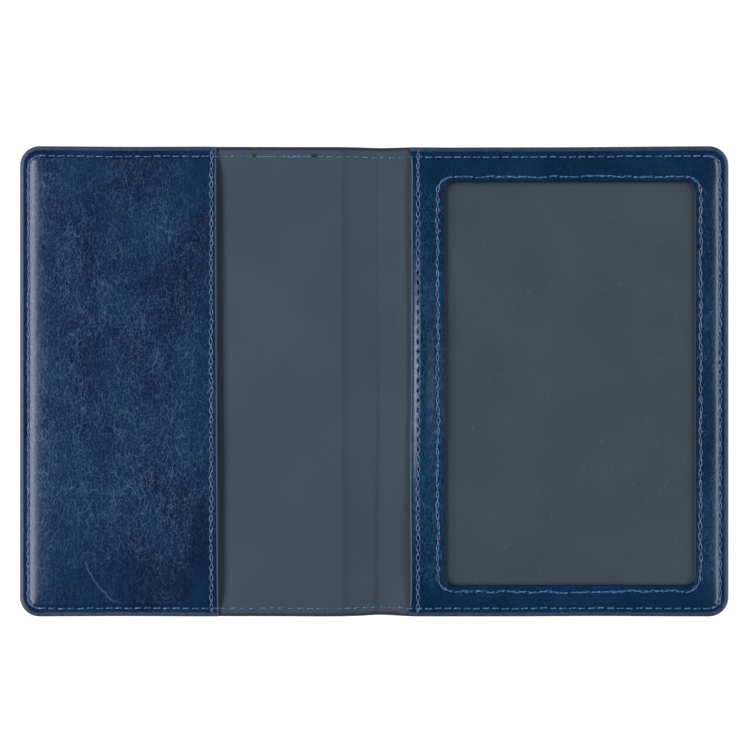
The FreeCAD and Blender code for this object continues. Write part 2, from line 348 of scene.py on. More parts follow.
def give(thing, attribute, values):
    """Stores one number for each point of a mesh, for its material to read."""
    made = thing.data.attributes.new(attribute, "FLOAT", "POINT")
    made.data.foreach_set("value", np.asarray(values, np.float32))


def shell(name, lines, plan, top, under, finish, opening=None, holes=None, **stored):
    """A closed sheet between two heights over a grid. Its material can read each stored function of x and y."""
    x, y = np.meshgrid(*lines, indexing="ij")
    index = np.arange(x.size).reshape(x.shape)
    middle_x, middle_y = ((line[1:] + line[:-1]) / 2 for line in lines)
    there = np.ones((len(middle_x), len(middle_y)), bool)
    if opening:
        in_x = (middle_x > opening[0]) & (middle_x < opening[1])
        in_y = (middle_y > opening[2]) & (middle_y < opening[3])
        there &= ~(in_x[:, None] & in_y)
    upper = np.stack([index[:-1, :-1], index[1:, :-1], index[1:, 1:], index[:-1, 1:]], -1)[there]
    start, end = upper.ravel(), np.roll(upper, -1, axis=1).ravel()
    alone = ~np.isin(start * x.size + end, end * x.size + start)
    start, end = start[alone], end[alone]
    walls = np.stack([end, start, start + x.size, end + x.size], -1)
    faces = np.concatenate([upper, upper[:, ::-1] + x.size, walls])
    x, y = (part.ravel() for part in plan(x, y))
    points = np.concatenate([
        np.stack([x, drawn_in(x, y), top(x, y)], -1),
        np.stack([x, drawn_in(x, y), under(x, y)], -1),
    ])
    used, faces = np.unique(faces, return_inverse=True)
    made = new_object(name, points[used], faces.reshape(-1, 4).tolist(), finish)
    for attribute, function in {"edge_distance": edge_distance, **stored}.items():
        give(made, attribute, np.tile(function(x, y), 2)[used])
    if holes is not None:
        # The holes are stored for the material, which darkens them as painted shade.
        give(made, "hole", np.concatenate([pits(x, y, holes), np.zeros(x.size)])[used])
    return made


def pits(x, y, holes):
    """1 in the middle of each deep needle hole, falling to 0 round it. A hole is (x, y, direction, depth). The
    holes sink the leather, and the material darkens them with painted shade.
    """
    total = np.zeros_like(x)
    for hole_x, hole_y, turn, depth in holes:
        near = np.abs(x - hole_x) + np.abs(y - hole_y) < 2.2
        dx, dy = x[near] - hole_x, y[near] - hole_y
        along = dx * math.cos(turn) + dy * math.sin(turn)
        aside = dy * math.cos(turn) - dx * math.sin(turn)
        total[near] += depth * np.exp(-((along / HOLE_LONG) ** 4) - (aside / HOLE_WIDE) ** 2)
    return np.minimum(total, 1)


# ---------------------------------------------------------------- seams


def loop_points(box, radius, step=0.1):
    """Points round a rounded rectangle, counter-clockwise from the middle of its right side."""
    start = [(box[1], (box[2] + box[3]) / 2)]
    points = []
    for corner_x, corner_y, begin in (
        (box[1] - radius, box[3] - radius, 0),
        (box[0] + radius, box[3] - radius, 1),
        (box[0] + radius, box[2] + radius, 2),
        (box[1] - radius, box[2] + radius, 3),
    ):
        angle = (begin + np.linspace(0, 1, 13)) * math.pi / 2
        points.append(np.stack([corner_x + radius * np.cos(angle), corner_y + radius * np.sin(angle)], -1))
    points = np.concatenate([start, *points, start])
    return even(points, int(length_of(points) / step))


def length_of(points):
    return np.linalg.norm(np.diff(points, axis=0), axis=1).sum()


def even(points, count):
    """The same line with points at even distances."""
    along = np.concatenate([[0], np.cumsum(np.linalg.norm(np.diff(points, axis=0), axis=1))])
    at = np.linspace(0, along[-1], count + 1)
    return np.stack([np.interp(at, along, points[:, i]) for i in (0, 1)], -1)


def cut_loop(points, left, right):
    """The part of a closed line between two X values, as one run."""
    inside = (points[:, 0] >= left) & (points[:, 0] <= right)
    first = np.flatnonzero(~inside)[0]
    points, inside = np.roll(points[:-1], -first, axis=0), np.roll(inside[:-1], -first)
    return points[inside]


class Seam:
    """A run of stitches: two strands that lie apart at each needle hole and cross between the holes.

    Apart and across say how far the strands lie off the row where it runs up and across the page, uneven how
    much that varies, and lean how far one of them stands higher. Sunk is the share of a crosswise stitch that
    dips into its holes. Eyes are the depths of the holes up and across the page, and beside is how far off the
    row they lie.
    """

    def __init__(self, points, pitch, seed, closed=False, uneven=1.4, across=0.13, apart=0.44, lean=0.0,
                 sunk=1.0, eyes=(1.0, 0.25), beside=0.0):
        self.count = max(1, round(length_of(points) / pitch))
        self.per = 12  # points to a stitch
        self.closed = closed
        self.uneven = uneven
        self.across = across
        self.apart = apart
        self.lean = lean
        self.sunk = sunk
        self.eyes = eyes
        self.beside = beside
        self.points = even(points, self.count * self.per)
        step = np.gradient(self.points, axis=0)
        if closed:
            step[0] = step[-1] = self.points[1] - self.points[-2]
        self.along = step / np.linalg.norm(step, axis=1)[:, None]
        self.rng = np.random.default_rng(seed)

    def holes(self):
        """Where the needle went through, each as (x, y, direction, depth)."""
        stitch = np.arange(self.count)
        at = stitch * self.per + self.per // 2
        along = self.along[at]
        depths = np.interp(np.abs(along[:, 1]), (0, 1), self.eyes[::-1])
        shifts = self.beside * np.random.default_rng(self.count).normal(0.9, 0.5, self.count) * (-1) ** stitch
        spots = self.points[at] + np.stack([-along[:, 1], along[:, 0]], -1) * shifts[:, None]
        return [(x, y, math.atan2(dy, dx), depth) for (x, y), (dx, dy), depth in zip(spots, along, depths)]

    def strands(self, level, radius=0.165, tight=None, lift=0.10):
        """The two strands as a list of (points, faces). Tight stitches lie close and never dip."""
        phase = np.arange(len(self.points)) / self.per
        stitch = np.arange(self.count + 1)
        wide = np.interp(phase, stitch, self.rng.normal(1, 0.08 * self.uneven, self.count + 1))
        drift = np.interp(phase, stitch, self.rng.normal(0, 0.05 * self.uneven, self.count + 1))
        if self.closed:
            wide[-1], drift[-1] = wide[0], drift[0]
        upright = np.abs(self.along[:, 1]) if tight is None else np.full(len(phase), 1 - tight)
        spread = (self.across + (self.apart - self.across) * upright) * wide
        # The neck, where the strands cross, stands highest. Buried stitches dip into the holes
        # between the necks.
        neck = np.cos(math.pi * phase) ** 2
        buried = (1 - upright) * self.sunk if tight is None else 0
        hump = (1 - buried) * 0.11 * neck + buried * (0.58 * neck - 0.46)
        wave = np.sin(math.pi * phase)
        aside = np.copysign(np.abs(wave) ** 1.5, wave) * spread
        normal = np.stack([-self.along[:, 1], self.along[:, 0]], -1)
        tubes = []
        for side in (1, -1):
            flat = self.points + normal * (side * aside + drift)[:, None]
            high = level(flat[:, 0], flat[:, 1]) + lift + hump
            high = high + side * (0.07 * np.cos(math.pi * phase) + self.lean * wave)
            line = np.stack([flat[:, 0], drawn_in(flat[:, 0], flat[:, 1]), high], -1)
            tubes.append(tube(line, radius, self.closed and self.count % 2 == 0))
        return tubes


def tube(line, radius, closed, sides=7, flatten=0.85):
    """A round thread along a line, as (points, faces)."""
    step = np.gradient(line, axis=0)
    if closed:
        step[0] = step[-1] = line[1] - line[-2]
    step /= np.linalg.norm(step, axis=1)[:, None]
    aside = np.cross(step, (0, 0, 1))
    aside /= np.linalg.norm(aside, axis=1)[:, None]
    up = np.cross(aside, step)
    angle = np.arange(sides) / sides * 2 * math.pi
    rings = line[:, None] + radius * (
        np.cos(angle)[:, None] * aside[:, None] + flatten * np.sin(angle)[:, None] * up[:, None]
    )
    if closed:
        rings = rings[:-1]
    index = np.arange(rings.shape[0] * sides).reshape(-1, sides)
    after = np.roll(index, -1, axis=0) if closed else index[1:]
    before = index if closed else index[:-1]
    quads = np.stack([before, after, np.roll(after, -1, axis=1), np.roll(before, -1, axis=1)], -1)
    faces = quads.reshape(-1, 4).tolist()
    if not closed:
        faces += [index[0].tolist(), index[-1][::-1].tolist()]
    return rings.reshape(-1, 3), faces


def joined(name, parts, finish):
    """One object from several (points, faces)."""
    points, faces, start = [], [], 0
    for part_points, part_faces in parts:
        points.append(part_points)
        faces += [[i + start for i in face] for face in part_faces]
        start += len(part_points)
    return new_object(name, np.concatenate(points), faces, finish, flat_angle=80)


# ---------------------------------------------------------------- materials


def srgb(*levels):
    """A colour from 0-255 screen levels."""
    return (*((v / 255 / 12.92) if v <= 10 else ((v / 255 + 0.055) / 1.055) ** 2.4 for v in levels), 1)


class Finish:
    """A node material that is put together in code."""

    def __init__(self, name, **sockets):
        self.material = bpy.data.materials.new(name)
        self.material.use_nodes = True
        self.tree = self.material.node_tree
        self.shader = self.tree.nodes["Principled BSDF"]
        for socket, value in sockets.items():
            self.shader.inputs[socket.replace("_", " ")].default_value = value

    def add(self, kind, output=0, settings=None, **inputs):
        """Adds a node and returns one of its outputs. Inputs are given by name, or as in0, in1 and in2."""
        node = self.tree.nodes.new("ShaderNode" + kind)
        for setting, value in (settings or {}).items():
            setattr(node, setting, value)
        for socket, value in inputs.items():
            number = int(socket[-1]) if socket in ("in0", "in1", "in2") else socket.replace("_", " ")
            self.feed(node.inputs[number], value)
        return node.outputs[output]

    def feed(self, target, value):
        """Gives an input its value, or links it to another node's output."""
        if isinstance(value, bpy.types.NodeSocket):
            self.tree.links.new(value, target)
        else:
            target.default_value = value

    def use(self, socket, value):
        """Sets an input of the material's shader."""
        self.feed(self.shader.inputs[socket], value)

    def place(self, scale=(1, 1, 1), turn=0.0):
        """Object coordinates in millimetres, stretched by a scale."""
        where = self.add("TexCoord", "Object")
        size = tuple(v / MM for v in scale)
        return self.add("Mapping", Vector=where, Scale=size, Rotation=(0, 0, turn))

    def noise(self, where, scale, detail=3.0, rough=0.5, bend=0.0):
        """Cloudy noise, with about scale clouds to a millimetre."""
        return self.add("TexNoise", Vector=where, Scale=scale, Detail=detail, Roughness=rough, Distortion=bend)

    def ramp(self, value, low, high, to_low=0.0, to_high=1.0):
        """A soft step between two levels as the value goes from low to high."""
        return self.add(
            "MapRange", settings={"interpolation_type": "SMOOTHSTEP"}, Value=value,
            From_Min=low, From_Max=high, To_Min=to_low, To_Max=to_high,
        )

    def sum(self, a, b, kind="ADD"):
        """The sum of two values, or another kind of arithmetic with them."""
        return self.add("Math", settings={"operation": kind}, in0=a, in1=b)

    def size_of(self, value):
        """The value without its sign."""
        return self.sum(value, 0.0, "ABSOLUTE")

    def times(self, a, b):
        return self.sum(a, b, "MULTIPLY")

    def mix(self, share, a, b):
        """A colour between a and b, by the share of b."""
        node = self.tree.nodes.new("ShaderNodeMix")
        node.data_type = "RGBA"
        for number, value in ((0, share), (6, a), (7, b)):
            self.feed(node.inputs[number], value)
        return node.outputs[2]

    def stored(self, attribute):
        return self.add("Attribute", "Fac", {"attribute_name": attribute})

    def bump(self, height, distance, strength):
        return self.add("Bump", Height=height, Distance=distance * MM, Strength=strength)


def crease_glint(f, x, y, turn, length):
    """The share of a long fine bowed crease that starts at a point, in millimetres. It carries a painted glint
    of light along the crease.
    """
    where = f.add("Mapping", settings={"vector_type": "TEXTURE"}, Vector=f.add("TexCoord", "Object"),
                  Location=(x * MM, y * MM, 0), Rotation=(0, 0, turn), Scale=(MM, MM, MM))
    along, aside = (f.add("SeparateXYZ", axis, Vector=where) for axis in "XY")
    wander = f.ramp(f.noise(f.place(), 0.35, 2), 0.3, 0.7, -0.4, 0.4)
    bow = f.times(f.times(f.sum(along, length, "SUBTRACT"), along), -0.017)
    line = f.ramp(f.size_of(f.sum(f.sum(aside, wander), bow)), 0.08, 0.32, 0.75, 0)
    ends = f.times(f.ramp(along, 0, 2), f.ramp(along, length - 4, length, 1, 0))
    return f.times(line, ends)


def creases(f):
    """A fine net of broken creases that runs up the page: two nets of cells, long strands and grain."""
    sway = f.add("TexNoise", "Color", Vector=f.place(), Scale=0.35, Detail=1.0, Roughness=0.5)
    strand = f.noise(f.place((1, 0.26, 1), -0.04), 1.05, 1, 0.6, 0.3)
    total = f.ramp(f.size_of(f.sum(strand, 0.5, "SUBTRACT")), 0.0, 0.045, 0.55, 0)
    for size, tall, turn, width, weight in (
        (0.90, 0.34, 0.06, 0.09, 0.90), (1.55, 0.50, -0.08, 0.16, 0.70),
    ):
        bent = f.add("VectorMath", settings={"operation": "MULTIPLY_ADD"},
                     in0=sway, in1=(1.0, 0.4, 0), in2=f.place((1, tall, 1), turn))
        cells = f.add("TexVoronoi", "Distance", {"feature": "DISTANCE_TO_EDGE"}, Vector=bent, Scale=size)
        broken = f.ramp(f.noise(f.place((1, 0.5, 1)), size * 0.4, 2, 0.5), 0.36, 0.60, 0.35 * weight, weight)
        total = f.sum(total, f.times(f.ramp(cells, 0.0, width, 1, 0), broken))
    grain = f.noise(f.place((1, 0.7, 1)), 2.7, 1, 0.8)
    return f.sum(total, f.ramp(grain, 0.3, 0.7, -0.4, 0.4))


def leather(name, rim, dark, mid, vein_and_glint, creased, roughness, shine, mark=None):
    """Glazed leather: mottled dye from dark to mid with pale creases, partly the leather's own and partly a
    painted glint of light, and a painted rim.

    Rim is the painted border's width, creased the strength of the creases, and mark one long old crease,
    painted with a glint of light.
    """
    f = Finish(name, Roughness=roughness, Specular_IOR_Level=shine)
    flat = f.place()
    patches = f.noise(f.place((1, 0.6, 1)), 0.05, 3, 0.5, 0.4)
    colour = f.mix(f.ramp(patches, 0.36, 0.64), dark, mid)
    zone = f.ramp(f.noise(f.place((1, 0.42, 1), 0.06), 0.07, 3, 0.6), 0.38, 0.60, 0.6, 1)
    zone = f.times(zone, f.ramp(f.stored("calm"), 0, 1, 1, 0.25))
    # The pale creases are partly the leather's cracked wax and partly a painted glint of light on the creases.
    shown = f.ramp(f.times(creases(f), zone), -0.2, 1.75, 0, creased)
    colour = f.mix(shown, colour, vein_and_glint)
    # A painted highlight along one long crease, where the light catches it.
    if mark:
        colour = f.mix(crease_glint(f, *mark), colour, vein_and_glint)

    # The paint ends in a ragged line, and is darkest on the outermost edge.
    ragged = f.sum(f.stored("edge_distance"), f.ramp(f.noise(flat, 1.1, 2), 0.3, 0.7, -0.10, 0.10))
    painted = f.ramp(ragged, rim - 0.12, rim + 0.12, 1, 0)
    paint = f.mix(f.ramp(f.noise(flat, 0.6, 3), 0.4, 0.65), srgb(50, 66, 94), srgb(62, 76, 102))
    paint = f.mix(f.ramp(ragged, 0.16, 0.34), srgb(10, 18, 34), paint)
    colour = f.mix(painted, colour, paint)
    # A dark line beside a cut edge is painted shade for a groove, and the cut itself is painted pale: partly a
    # lighter raw edge, partly a highlight where the rounded edge catches the light.
    cut = f.stored("cut")
    groove = f.times(f.ramp(cut, 0.16, 0.34), f.ramp(cut, 0.46, 0.56, 1, 0))
    colour = f.mix(f.ramp(groove, 0, 1, 0, 0.6), colour, srgb(8, 16, 44))
    colour = f.mix(f.ramp(cut, 0.54, 0.68), colour, srgb(92, 106, 130))
    # Painted shade in the needle holes.
    colour = f.mix(f.ramp(f.stored("hole"), 0.15, 0.6), colour, srgb(2, 5, 26))
    f.use("Base Color", colour)

    dull = f.ramp(patches, 0.3, 0.7, roughness - 0.02, roughness + 0.03)
    dull = f.sum(dull, f.times(f.stored("rubbed"), 0.24))
    f.use("Roughness", f.sum(dull, f.times(painted, 0.16)))
    f.use("Normal", f.bump(shown, 0.03, 0.4))
    return f.material


def lining_finish():
    """Matt grey cloth, darker where its tone is stored: a band by the spine and painted shade along the crease.
    It has a painted rim.
    """
    f = Finish("lining_cloth", Roughness=0.82, Specular_IOR_Level=0.3, Sheen_Weight=0.08)
    flat = f.place()
    cloud = f.noise(flat, 0.03, 3, 0.55)
    speck = f.noise(flat, 2.2, 2, 0.6)
    tone = f.mix(f.ramp(cloud, 0.35, 0.65), srgb(66, 81, 89), srgb(73, 86, 95))
    tone = f.mix(f.ramp(speck, 0.35, 0.65, 0, 0.22), tone, srgb(54, 67, 76))
    # The stored tone darkens the cloth in a band by the spine, and with painted shade along the crease.
    tone = f.mix(f.ramp(f.stored("tone"), 0, 1, 0, 0.55), tone, srgb(46, 54, 62))
    ragged = f.sum(f.stored("edge_distance"), f.ramp(f.noise(flat, 1.0, 2), 0.3, 0.7, -0.15, 0.15))
    tone = f.mix(f.ramp(ragged, 0.85, 1.15, 1, 0), tone, srgb(52, 54, 78))
    f.use("Base Color", tone)
    f.use("Roughness", f.ramp(ragged, 0.85, 1.15, 0.45, 0.82))
    f.use("Normal", f.bump(speck, 0.04, 0.35))
    return f.material


def film_finish():
    """Clear plastic with a little haze and specks of dust."""
    f = Finish("clear_film", Roughness=0.15, Alpha=0.3, Specular_IOR_Level=0.5)
    flat = f.place()
    haze = f.ramp(f.noise(flat, 0.05, 3, 0.5), 0.3, 0.7)
    near = f.add("TexVoronoi", "Distance", Vector=f.place((1, 0.75, 1), 0.6), Scale=0.6)
    rare = f.ramp(f.noise(flat, 0.31, 2, 0.7), 0.50, 0.60)
    speck = f.times(f.ramp(near, 0.08, 0.19, 1, 0), rare)
    colour = f.mix(haze, srgb(100, 112, 117), srgb(92, 105, 110))
    f.use("Base Color", f.mix(speck, colour, srgb(140, 152, 157)))
    f.use("Roughness", f.ramp(haze, 0, 1, 0.12, 0.18))
    return f.material


def thread_finish():
    """Blue thread whose plies twist round each other."""
    f = Finish("stitch_thread", Roughness=0.42, Specular_IOR_Level=0.6, Sheen_Weight=0.15)
    flat = f.place()
    ply = f.add("TexWave", "Fac", {"bands_direction": "DIAGONAL"}, Vector=flat, Scale=1.1, Distortion=1.5)
    colour = f.mix(f.ramp(f.noise(flat, 1.1, 2), 0.38, 0.66), srgb(48, 90, 146), srgb(118, 156, 192))
    f.use("Base Color", f.mix(f.ramp(ply, 0.2, 0.8, 0, 0.35), colour, srgb(44, 72, 122)))
    f.use("Normal", f.bump(ply, 0.04, 0.6))
    return f.material


def melted_finish():
    """Shiny black drops, where thread ends were melted."""
    f = Finish("melted_thread", Roughness=0.28)
    f.use("Base Color", f.mix(f.noise(f.place(), 3.0), srgb(6, 6, 10), srgb(22, 26, 36)))
    return f.material


def board_finish():
    """Pale brown pressed board."""
    f = Finish("grey_board", Roughness=0.85)
    fibre = f.noise(f.place((1, 0.3, 1)), 1.4, 4, 0.7)
    f.use("Base Color", f.mix(f.ramp(fibre, 0.35, 0.65), srgb(150, 134, 110), srgb(174, 158, 134)))
    f.use("Normal", f.bump(fibre, 0.05, 0.5))
    return f.material


def make_finishes():
    """Every material, by name."""
    return {
        # The panel's leather has paler, denser creases than the frame's; part of that is painted sheen for the
        # light the left panel catches.
        "panel": leather(
            "panel_leather", rim=1.2, dark=srgb(2, 27, 59), mid=srgb(2, 41, 78), vein_and_glint=srgb(80, 110, 143),
            creased=0.80, roughness=0.25, shine=0.56, mark=(-82.6, -50.9, -0.89, 17.0),
        ),
        "frame": leather(
            "frame_leather", rim=1.2, dark=srgb(0, 38, 67), mid=srgb(0, 47, 81), vein_and_glint=srgb(56, 98, 132),
            creased=0.70, roughness=0.25, shine=0.58,
        ),
        "outer": leather(
            "outer_leather", rim=0.22, dark=srgb(0, 24, 56), mid=srgb(0, 34, 68), vein_and_glint=srgb(86, 106, 136),
            creased=0.70, roughness=0.34, shine=0.36,
        ),
        "lining": lining_finish(),
        "film": film_finish(),
        "thread": thread_finish(),
        "melted": melted_finish(),
        "board": board_finish(),
    }


# ---------------------------------------------------------------- the pieces


def spine_sheet(name, kind, y_lines, top, under, finish):
    """A sheet that crosses the spine, cut where a fold's stretch ends, into one part for each fold."""
    parts = []
    steep = (-BOARD_END + 0.4, BOARD_END - 0.4, SEAM[0], SEAM[1], SPINE_CREASE)
    for i, fold in enumerate(FOLDS):
        low = OUTLINE[0] if i == 0 else fold - REACH
        high = OUTLINE[1] if i == len(FOLDS) - 1 else fold + REACH
        places = [low, high, fold - REACH, fold + REACH] + [place for place in steep if low < place < high]
        lines = (marks(places, fine=0.22, coarse=1.6), y_lines)
        part = shell("%s_%d" % (name, i + 1), lines, plain_plan, top, under, finish)
        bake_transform(part)
        parts.append(part)
    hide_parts(kind + "_left", kind + "_spine_1")
    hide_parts(kind + "_spine_1", kind + "_spine_2")
    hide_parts(kind + "_spine_2", kind + "_spine_3")
    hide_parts(kind + "_right", kind + "_spine_3")
    return parts


def give_band_and_crease_shade(part):
    """Darkens the lining in a band between the left board's end and the middle crease, and paints shade along
    that crease, more towards the bottom.
    """
    x = np.array([v.co.x for v in part.data.vertices]) / MM
    y = np.array([v.co.y for v in part.data.vertices]) / MM
    bare = smooth(-BOARD_END - 0.1, -BOARD_END + 0.3, x) * smooth(2.4, 0.9, x + 0.4 * np.sin(y / 23))
    dark = 0.35 * bare + 0.35 * ridge(past_crease(x, y) + 0.3, 0.8) * smooth(30, -50, y)
    give(part, "tone", dark)


def make_sheets(finish):
    """The outer leather and the lining. Each cover's part also takes the place of the strip of spine next to
    it.
    """
    y_lines = marks([OUTLINE[2], SEAM[2], SEAM[3], OUTLINE[3]], fine=0.22, coarse=1.6)
    leather_parts = spine_sheet(
        "outer_leather_skin", "outer_leather", y_lines, outer_top, outer_under, finish["outer"]
    )
    lining_parts = spine_sheet(
        "lining_cloth", "lining", y_lines, lining_top, lining_under, finish["lining"]
    )
    for part in lining_parts:
        give_band_and_crease_shade(part)


def make_boards(finish):
    """The boards stay back from the edge, where the leather closes round them."""
    back = 1.6
    box = inset(OUTLINE, back, back, back, back)
    y_lines = marks(box[2:], fine=0.6, coarse=4)
    for side, name, body in ((-1, "left", "left_cover"), (1, "right", "right_cover")):
        x_lines = np.sort(side * marks([BOARD_END, box[1]], fine=0.6, coarse=4))
        made = shell(
            "stiff_board_" + name, (x_lines, y_lines), lambda x, y: round_corners(x, y, box, CORNER - back),
            lambda x, y: np.full_like(x, BOARD_TOP), lambda x, y: np.full_like(x, LEATHER_TOP), finish["board"],
        )
        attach(made, body)
        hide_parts("stiffener_board_" + name)


def panel_under(form):
    """The underside of a panel: on the lining at its border, and its own thickness below its top inside."""
    return lambda x, y: np.maximum(LINING_TOP, form(x, y) - PANEL_THICK) + edge_fall(edge_distance(x, y), 0.1)


def panel_cut(x, y):
    """1 at the panel's cut free edge, falling to 0 a millimetre in."""
    return 1 - np.clip(panel_edge(y) - x, 0, 1)


def frame_cut(x, y):
    """1 at the frame's cut edges: the free one as far as the perimeter seam, and the window's."""
    free = x - frame_edge(y) + smooth(64.1, 64.9, np.abs(y))
    window = rounded(x, y, WINDOW, WINDOW_CORNER) + 0.38
    return 1 - np.clip(np.minimum(free, window), 0, 1)


def panel_calm(x, y):
    """Where the panel shows fewer creases: 1 along the seam, less towards the ends and the free edge."""
    pressed = 1 - smooth(2.4, 4.0, edge_distance(x, y))
    ends = 0.55 * smooth(-38, -60, y) + 0.30 * smooth(42, 60, y) + 0.40 * smooth(-58, -49, x)
    return np.clip(pressed + ends, 0, 1)


def frame_calm(x, y):
    """The frame's long top and bottom bars are smoother than its upright ones."""
    return 0.75 * smooth(-1.5, 0.5, np.abs(y + 0.7) - (WINDOW[3] - WINDOW[2]) / 2)


def frame_rubbed(x, y):
    """A patch on the frame's inner bar where the glaze is rubbed dull."""
    return smooth(14.0, 16.0, x) * smooth(20.2, 18.6, x) * ridge(y - 1, 21)


def make_panel(finish, holes):
    """The left pocket panel."""
    def top(x, y):
        fall = edge_fall(edge_distance(x, y), 0.3) + edge_fall(panel_edge(y) - x, 0.34)
        return panel_form(x, y) - fall - HOLE_DEEP * pits(x, y, holes)

    x_lines = marks([OUTLINE[0], SEAM[0], PANEL_SEAM, PANEL_EDGE], fine=0.16, coarse=0.8)
    y_lines = marks([OUTLINE[2], SEAM[2], SEAM[3], OUTLINE[3]], fine=0.16, coarse=0.36)
    panel = shell(
        "pocket_leather", (x_lines, y_lines), panel_plan, top, panel_under(panel_form), finish["panel"],
        holes=holes, calm=panel_calm, cut=panel_cut,
    )
    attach(panel, "left_cover")
    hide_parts("pocket_panel_left")


def make_frame_panel(finish, holes):
    """The right panel, with its window."""
    def top(x, y):
        window = rounded(x, y, WINDOW, WINDOW_CORNER)
        fall = edge_fall(edge_distance(x, y), 0.3) + edge_fall(x - frame_edge(y), 0.34) + edge_fall(window, 0.3)
        return frame_form(x, y) - fall - HOLE_DEEP * pits(x, y, holes)

    x_lines = marks(
        [FRAME_EDGE, FRAME_SEAM, WINDOW_SEAM[0], WINDOW[0], WINDOW[1], WINDOW_SEAM[1], SEAM[1], OUTLINE[1]],
        fine=0.16, coarse=0.8, passing=[WINDOW[0] + WINDOW_CORNER, WINDOW[1] - WINDOW_CORNER],
    )
    y_lines = marks(
        [OUTLINE[2], SEAM[2], WINDOW_SEAM[2], WINDOW[2], WINDOW[3], WINDOW_SEAM[3], SEAM[3], OUTLINE[3]],
        fine=0.16, coarse=0.36, passing=[WINDOW[2] + WINDOW_CORNER, WINDOW[3] - WINDOW_CORNER],
    )
    made = shell(
        "frame_leather", (x_lines, y_lines), frame_plan, top, panel_under(frame_form), finish["frame"],
        opening=WINDOW, holes=holes, calm=frame_calm, rubbed=frame_rubbed, cut=frame_cut,
    )
    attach(made, "right_cover")
    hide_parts("window_frame_right")
    return made


def make_pocket_backing(finish):
    """The lining behind the left pocket panel."""
    low, high = corners("pocket_lining_left")
    box = (low[0], high[0], low[1], high[1])
    gap = PANEL_THICK + 2 * CLEAR
    lines = tuple(marks(box[i:i + 2], fine=0.6, coarse=2.5) for i in (0, 2))
    backing = shell(
        "pocket_backing", lines, lambda x, y: (x, y),
        lambda x, y: panel_form(x, y) - gap, lambda x, y: panel_form(x, y) - gap - BACKING_THICK,
        finish["lining"],
    )
    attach(backing, "left_cover")
    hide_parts("pocket_lining_left")


def make_frame_backing(finish):
    """The lining behind the frame panel, a ring on the same cover."""
    low, high = corners("frame_lining_right")
    box = (low[0], high[0], low[1], high[1])
    window = inset(WINDOW, -0.8, -0.8, -0.8, -0.8)
    gap = PANEL_THICK + FILM_THICK + 2 * CLEAR
    lines = tuple(marks([box[i], window[i], window[i + 1], box[i + 1]], fine=0.4, coarse=2.5) for i in (0, 2))
    ring = shell(
        "frame_backing", lines, lambda x, y: (x, y),
        lambda x, y: frame_form(x, y) - gap, lambda x, y: frame_form(x, y) - gap - BACKING_THICK,
        finish["lining"], opening=window,
    )
    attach(ring, "right_cover")
    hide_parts("frame_lining_right")


def make_film(finish):
    """The window film, held behind the window's border and sunk a little inside it."""
    def top(x, y):
        edge = frame_form(x, y) - PANEL_THICK - CLEAR
        free = np.minimum(LINING_TOP + 1.02 + 0.06 * unevenness(x, y, 55, 12), LINING_TOP + 1.2)
        return edge + (free - edge) * smooth(0, 9, -rounded(x, y, WINDOW, WINDOW_CORNER))

    lines = tuple(marks([FILM_LOW[i], FILM_HIGH[i]], fine=0.5, coarse=2.0) for i in (0, 1))
    sheet = shell(
        "film_sheet", lines, lambda x, y: (x, y), top, lambda x, y: top(x, y) - FILM_THICK, finish["film"]
    )
    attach(sheet, "right_cover")
    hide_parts("window_film")


def make_seams():
    """Every seam's path, by name."""
    around = loop_points(SEAM, SEAM_CORNER)
    left = cut_loop(around, OUTLINE[0], FOLDS[0] - REACH)
    right = cut_loop(around, FOLDS[-1] + REACH, OUTLINE[1])
    panel, free = (np.array([(x, y) for y in SEAM_ENDS]) for x in (PANEL_SEAM, FRAME_SEAM))
    window = loop_points(WINDOW_SEAM, WINDOW_SEAM_CORNER)
    again = np.array([(x, SEAM[3]) for x in OVERLAP]) + (0.6, 0.12)
    seams = {
        "left": Seam(left, pitch=2.72, seed=11, apart=0.27, sunk=0.9),
        "right": Seam(right, pitch=2.72, seed=12, apart=0.38, sunk=0.9),
        "panel": Seam(panel, pitch=2.78, seed=13, lean=0.10),
        "frame": Seam(free, pitch=2.78, seed=14, lean=-0.06, eyes=(1.7, 1.7)),
        "window": Seam(window, pitch=3.0, seed=15, closed=True, uneven=3.0, across=0.20, apart=0.34, sunk=0.62,
                       eyes=(0.6, 0.9), beside=0.40),
        "again": Seam(again, pitch=2.72, seed=16),
    }
    for i, fold in enumerate(FOLDS):
        for row, y in (("top", SEAM[3]), ("bottom", SEAM[2])):
            ends = np.array([(fold - REACH, y), (fold + REACH, y)])
            seams["%s_%d" % (row, i)] = Seam(ends, pitch=2.5, seed=20 + i)
    return seams


def make_threads(finish, seams):
    """Every stitch. The perimeter seam has a part for each cover and for each fold."""
    def under(seam):
        """The same stitches on the underside, where they lie in their channel."""
        return seam.strands(lambda x, y: np.full_like(x, 0.05), 0.12, tight=0.8)

    for side, body in (("left", "left_cover"), ("right", "right_cover")):
        parts = seams[side].strands(inside_level) + under(seams[side])
        if side == "left":
            parts += seams["again"].strands(inside_level, lift=0.2)
        made = joined("perimeter_stitches_" + side, parts, finish["thread"])
        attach(made, body)
        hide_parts("perimeter_thread_" + side)
    for i, fold in enumerate(FOLDS):
        parts = []
        for row in ("top", "bottom"):
            seam = seams["%s_%d" % (row, i)]
            parts += seam.strands(inside_level) + under(seam)
        made = joined("perimeter_stitches_fold_%d" % (i + 1), parts, finish["thread"])
        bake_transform(made)
        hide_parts(*["perimeter_thread_spine_%d" % n for n in (i, i + 1) if 1 <= n <= 3])
    for name, node, body, level in (
        ("panel", "pocket_edge_thread", "left_cover", panel_form),
        ("frame", "frame_edge_thread", "right_cover", frame_form),
        ("window", "window_thread", "right_cover", frame_form),
    ):
        made = joined(name + "_stitches", seams[name].strands(level, 0.15), finish["thread"])
        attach(made, body)
        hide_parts(node)


